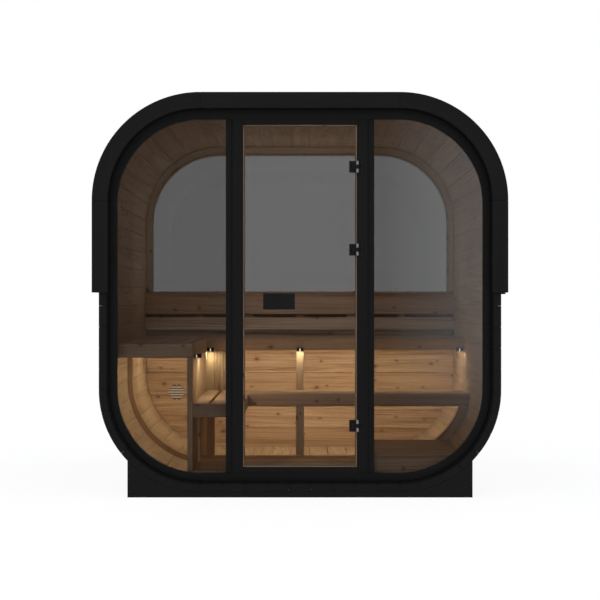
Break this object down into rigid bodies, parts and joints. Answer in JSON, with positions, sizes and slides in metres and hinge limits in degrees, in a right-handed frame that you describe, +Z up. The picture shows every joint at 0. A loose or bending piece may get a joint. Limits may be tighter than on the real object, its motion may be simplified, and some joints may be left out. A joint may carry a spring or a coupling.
{
  "type": "cube sauna",
  "caption": "Rounded cube sauna cabin of black-clad timber staves, glazed front and rear, with a glass door and an L of two-tier wooden benches inside.",
  "frame": {"origin": "on the ground under the middle of the cabin", "axes": "+Z up, front with the door towards -Y, +X to the right seen from the front"},
  "size_m": [2.112, 2.1, 2.058],
  "materials": {
    "black": "painted, satin",
    "stave": "black paint outside, bare planed spruce inside",
    "wood": "bare planed spruce",
    "glass": "tinted, clear",
    "vent": "matt",
    "lamp": "satin",
    "hardware": "matt black"
  },
  "bodies": {
    "cabin": {"cradles": "black", "base_rails": "black", "floor_staves": "stave", "ceiling_staves": "stave", "left_wall_staves": "stave", "right_wall_staves": "stave", "lower_left_staves": "stave", "lower_right_staves": "stave", "upper_left_staves": "stave", "upper_right_staves": "stave", "roof_top": "black", "roof_left_curve": "black", "roof_right_curve": "black", "roof_sides": "black", "front_fascia": "black", "rear_fascia": "black", "front_frame": "black", "door_posts": "black", "glazing_strips": "black", "door_head": "black", "door_sill": "black", "door_stop": "wood", "left_pane": "glass", "right_pane": "glass", "rear_frame": "black", "rear_window_rail": "black", "rear_pane": "glass", "rear_wall_boards": "wood", "vent_grille": "vent", "floor_slats": "wood", "floor_bearers": "wood", "heater_platform": "wood", "upper_bench_slats": "wood", "upper_bench_skirts": "wood", "lower_bench_slats": "wood", "lower_bench_skirts": "wood", "bench_bearers": "wood", "bench_posts": "wood", "side_riser": "wood", "corner_riser": "wood", "backrest_slats": "wood", "backrest_battens": "wood", "wall_ribs": "wood", "bench_lamps": "lamp", "post_hinges": "hardware"},
    "door": {"door_glass": "glass", "door_handle": "hardware", "door_hinges": "hardware"}
  },
  "joints": [
    {"name": "door_hinge", "type": "hinge", "parent": "cabin", "child": "door", "pos_m": [0.293, -0.9985, 1.024], "axis": [0, 0, 1], "range_deg": [0, 110]}
  ]
}
